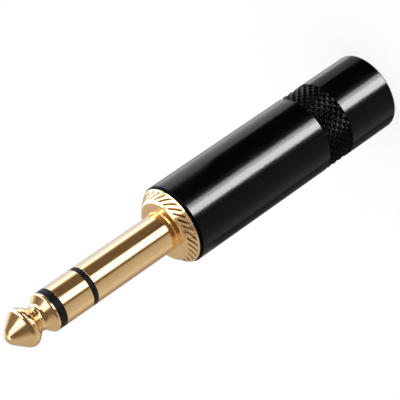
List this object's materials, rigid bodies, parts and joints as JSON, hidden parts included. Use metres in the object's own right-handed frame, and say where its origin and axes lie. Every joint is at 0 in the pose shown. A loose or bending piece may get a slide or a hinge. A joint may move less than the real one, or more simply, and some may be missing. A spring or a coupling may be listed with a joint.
{
  "type": "stereo jack plug",
  "caption": "Straight 6.35 mm stereo jack plug: gold tip, ring and sleeve contacts on one shaft, knurled collar and a slim black shell that unscrews from behind.",
  "frame": {"origin": "centre of the shell's rear face, which the plug stands on", "axes": "+Z along the plug's axis towards the tip, +Y towards the ring's solder lug"},
  "size_m": [0.013, 0.013, 0.0746],
  "materials": {
    "gold_plate": "polished gold plate on brass",
    "black_shell": "semi-gloss black coat on metal",
    "black_insulator": "satin black moulded plastic",
    "tinned_metal": "tin plate, satin",
    "fibre_board": "brown insulating board",
    "liner_plastic": "natural milky plastic"
  },
  "bodies": {
    "shell": {"shell": "black_shell"},
    "liner": {"insulating_liner": "liner_plastic"},
    "plug": {"sleeve_body": "gold_plate", "ring_insulator": "black_insulator", "ring_contact": "gold_plate", "tip_insulator": "black_insulator", "tip_contact": "gold_plate", "cable_clamp": "tinned_metal", "ring_lug_insulator": "fibre_board", "ring_lug": "tinned_metal", "tip_lug_insulator": "fibre_board", "tip_lug": "tinned_metal"}
  },
  "joints": [
    {"name": "plug_turn", "type": "hinge", "parent": "shell", "child": "liner", "pos_m": [0, 0, 0], "axis": [0, 0, 1], "range_deg": [0, 2520]},
    {"name": "plug_travel", "type": "slide", "parent": "liner", "child": "plug", "axis": [0, 0, 1], "range_m": [0, 0.00525]}
  ],
  "couplings": [
    {"joint": "plug_travel", "follows": "plug_turn", "m_per_rad": 0.00011937}
  ]
}
